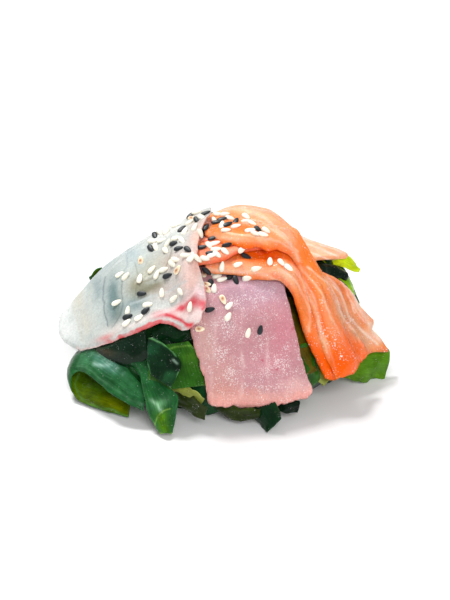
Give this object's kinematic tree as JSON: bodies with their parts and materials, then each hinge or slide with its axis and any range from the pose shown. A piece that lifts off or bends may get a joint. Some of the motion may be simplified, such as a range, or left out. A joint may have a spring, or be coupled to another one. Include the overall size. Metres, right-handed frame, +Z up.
{
  "type": "wakame salad with raw fish",
  "caption": "Domed heap of cut wakame leaves under thin draped slices of white, pink and salmon-coloured raw fish, strewn with sesame seeds.",
  "frame": {"origin": "on the floor under the heap, near its middle", "axes": "+Z up, +X to the right seen from the front, -Y towards the front, where the pink slice hangs down"},
  "size_m": [0.1098, 0.1018, 0.0532],
  "materials": {
    "wakame": "wet, glossy dark green leaves with lighter undersides",
    "pink_fish": "wet, pink flesh with pale seams",
    "salmon": "wet, orange flesh with white fat lines",
    "salmon_dark": "wet, deep red-orange flesh",
    "salmon_pale": "wet, pale orange flesh",
    "white_fish": "wet, translucent grey-white flesh with a red edge"
  },
  "bodies": {
    "root": {"wakame": "wakame", "pink_fish_slice": "pink_fish", "salmon_front_slice": "salmon", "salmon_small_flap": "salmon_dark", "salmon_back_slice": "salmon_pale", "salmon_flap": "salmon_pale", "salmon_top_slice": "salmon", "white_fish_slice": "white_fish"}
  },
  "joints": []
}
